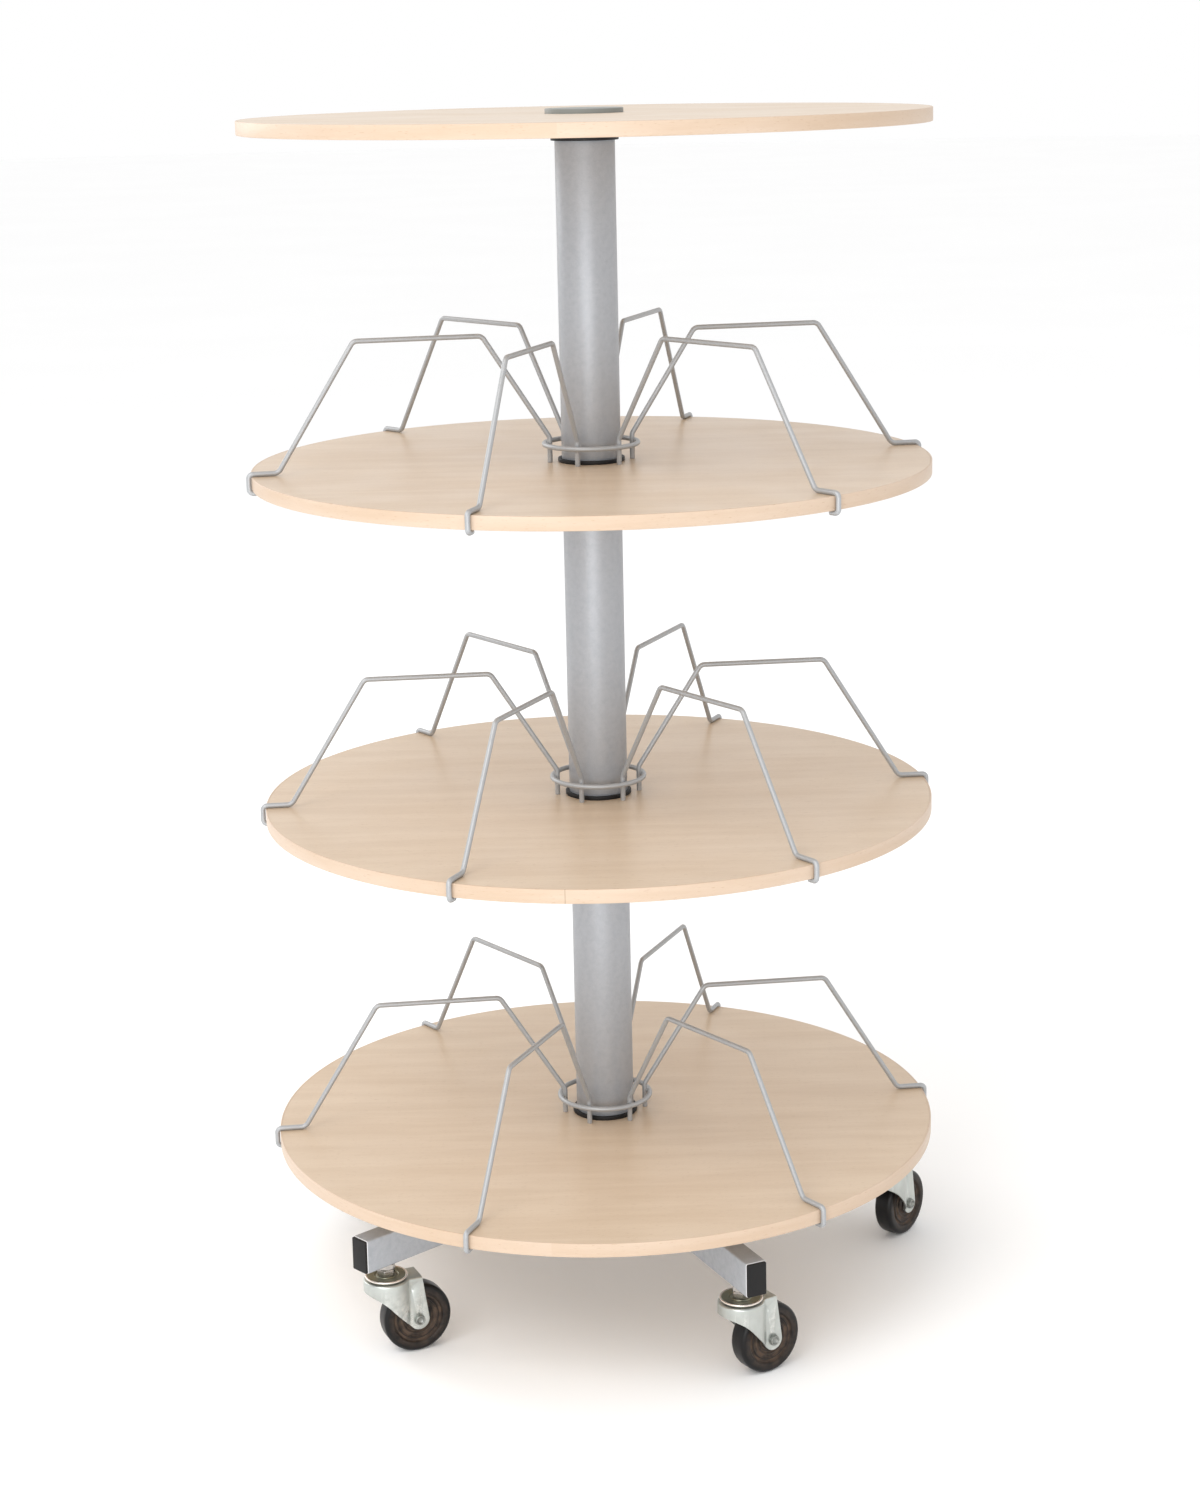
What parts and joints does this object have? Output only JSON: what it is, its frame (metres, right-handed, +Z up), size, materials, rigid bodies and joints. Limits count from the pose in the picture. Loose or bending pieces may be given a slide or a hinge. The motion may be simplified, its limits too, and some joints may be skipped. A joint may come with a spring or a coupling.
{
  "type": "rotating binder stand",
  "caption": "Free-standing rotating stand for lever-arch files: round wood-faced shelves with bent-wire dividers turning on one column, over a star base on swivel casters.",
  "frame": {"origin": "on the column's axis, at the floor under the casters' wheels", "axes": "+Z up along the column, -Y towards the front as pictured, +X to the right seen from the front"},
  "size_m": [0.8088, 0.8032, 1.4205],
  "materials": {
    "silver_paint": "satin",
    "black_plastic": "matte",
    "grey_plastic": "matte",
    "plain_steel": "machined",
    "wood_laminate": "satin",
    "edge_banding": "satin",
    "silver_wire": "satin",
    "zinc_steel": "zinc plated",
    "yellow_zinc": "zinc plated",
    "black_rubber": "matte"
  },
  "bodies": {
    "base_and_column": {"base_hub": "silver_paint", "arm_front_left": "silver_paint", "arm_front_right": "silver_paint", "arm_right": "silver_paint", "arm_rear": "silver_paint", "arm_left": "silver_paint", "arm_end_caps": "black_plastic", "mast": "plain_steel", "lower_column_tube": "silver_paint", "middle_column_tube": "silver_paint", "upper_column_tube": "silver_paint", "lower_bearing_ring": "black_plastic", "middle_bearing_ring": "black_plastic", "upper_bearing_ring": "black_plastic", "top_bearing_ring": "black_plastic", "retaining_washer": "plain_steel", "retaining_screw": "plain_steel", "top_cap": "grey_plastic", "caster_stems": "zinc_steel", "caster_lock_nuts": "zinc_steel", "caster_swivel_discs": "yellow_zinc"},
    "lower_tier": {"lower_board": "wood_laminate", "lower_edge_band": "edge_banding", "lower_bush": "black_plastic", "lower_divider_ring": "silver_wire", "lower_divider_wires": "silver_wire"},
    "middle_tier": {"middle_board": "wood_laminate", "middle_edge_band": "edge_banding", "middle_bush": "black_plastic", "middle_divider_ring": "silver_wire", "middle_divider_wires": "silver_wire"},
    "upper_tier": {"upper_board": "wood_laminate", "upper_edge_band": "edge_banding", "upper_bush": "black_plastic", "upper_divider_ring": "silver_wire", "upper_divider_wires": "silver_wire"},
    "top_plate": {"top_board": "wood_laminate", "top_edge_band": "edge_banding", "top_bush": "black_plastic"},
    "caster_front_left": {"fork_front_left": "zinc_steel", "axle_front_left": "zinc_steel"},
    "rolling_wheel_front_left": {"wheel_front_left": "black_rubber", "wheel_bush_front_left": "plain_steel"},
    "caster_front_right": {"fork_front_right": "zinc_steel", "axle_front_right": "zinc_steel"},
    "rolling_wheel_front_right": {"wheel_front_right": "black_rubber", "wheel_bush_front_right": "plain_steel"},
    "caster_right": {"fork_right": "zinc_steel", "axle_right": "zinc_steel"},
    "rolling_wheel_right": {"wheel_right": "black_rubber", "wheel_bush_right": "plain_steel"},
    "caster_rear": {"fork_rear": "zinc_steel", "axle_rear": "zinc_steel"},
    "rolling_wheel_rear": {"wheel_rear": "black_rubber", "wheel_bush_rear": "plain_steel"},
    "caster_left": {"fork_left": "zinc_steel", "axle_left": "zinc_steel"},
    "rolling_wheel_left": {"wheel_left": "black_rubber", "wheel_bush_left": "plain_steel"}
  },
  "joints": [
    {"name": "lower_tier_turn", "type": "hinge", "parent": "base_and_column", "child": "lower_tier", "pos_m": [0, 0, 0.2], "axis": [0, 0, 1], "continuous": true},
    {"name": "middle_tier_turn", "type": "hinge", "parent": "base_and_column", "child": "middle_tier", "pos_m": [0, 0, 0.605], "axis": [0, 0, 1], "continuous": true},
    {"name": "upper_tier_turn", "type": "hinge", "parent": "base_and_column", "child": "upper_tier", "pos_m": [0, 0, 1.01], "axis": [0, 0, 1], "continuous": true},
    {"name": "top_plate_turn", "type": "hinge", "parent": "base_and_column", "child": "top_plate", "pos_m": [0, 0, 1.415], "axis": [0, 0, 1], "continuous": true},
    {"name": "swivel_front_left", "type": "hinge", "parent": "base_and_column", "child": "caster_front_left", "pos_m": [-0.25817, -0.24075, 0.0935], "axis": [0, 0, 1], "continuous": true},
    {"name": "roll_front_left", "type": "hinge", "parent": "caster_front_left", "child": "rolling_wheel_front_left", "pos_m": [-0.22733, -0.22766, 0.041], "axis": [-0.3907, 0.9205, 0], "continuous": true},
    {"name": "swivel_front_right", "type": "hinge", "parent": "base_and_column", "child": "caster_front_right", "pos_m": [0.14918, -0.31993, 0.0935], "axis": [0, 0, 1], "continuous": true},
    {"name": "roll_front_right", "type": "hinge", "parent": "caster_front_right", "child": "rolling_wheel_front_right", "pos_m": [0.17696, -0.30119, 0.041], "axis": [-0.5592, 0.829, 0], "continuous": true},
    {"name": "swivel_right", "type": "hinge", "parent": "base_and_column", "child": "caster_right", "pos_m": [0.35037, 0.04302, 0.0935], "axis": [0, 0, 1], "continuous": true},
    {"name": "roll_right", "type": "hinge", "parent": "caster_right", "child": "rolling_wheel_right", "pos_m": [0.37145, 0.06905, 0.041], "axis": [-0.7771, 0.6293, 0], "continuous": true},
    {"name": "swivel_rear", "type": "hinge", "parent": "base_and_column", "child": "caster_rear", "pos_m": [0.06736, 0.34651, 0.0935], "axis": [0, 0, 1], "continuous": true},
    {"name": "roll_rear", "type": "hinge", "parent": "caster_rear", "child": "rolling_wheel_rear", "pos_m": [0.09225, 0.36893, 0.041], "axis": [-0.6691, 0.7431, 0], "continuous": true},
    {"name": "swivel_left", "type": "hinge", "parent": "base_and_column", "child": "caster_left", "pos_m": [-0.30874, 0.17114, 0.0935], "axis": [0, 0, 1], "continuous": true},
    {"name": "roll_left", "type": "hinge", "parent": "caster_left", "child": "rolling_wheel_left", "pos_m": [-0.27973, 0.18789, 0.041], "axis": [-0.5, 0.866, 0], "continuous": true}
  ]
}
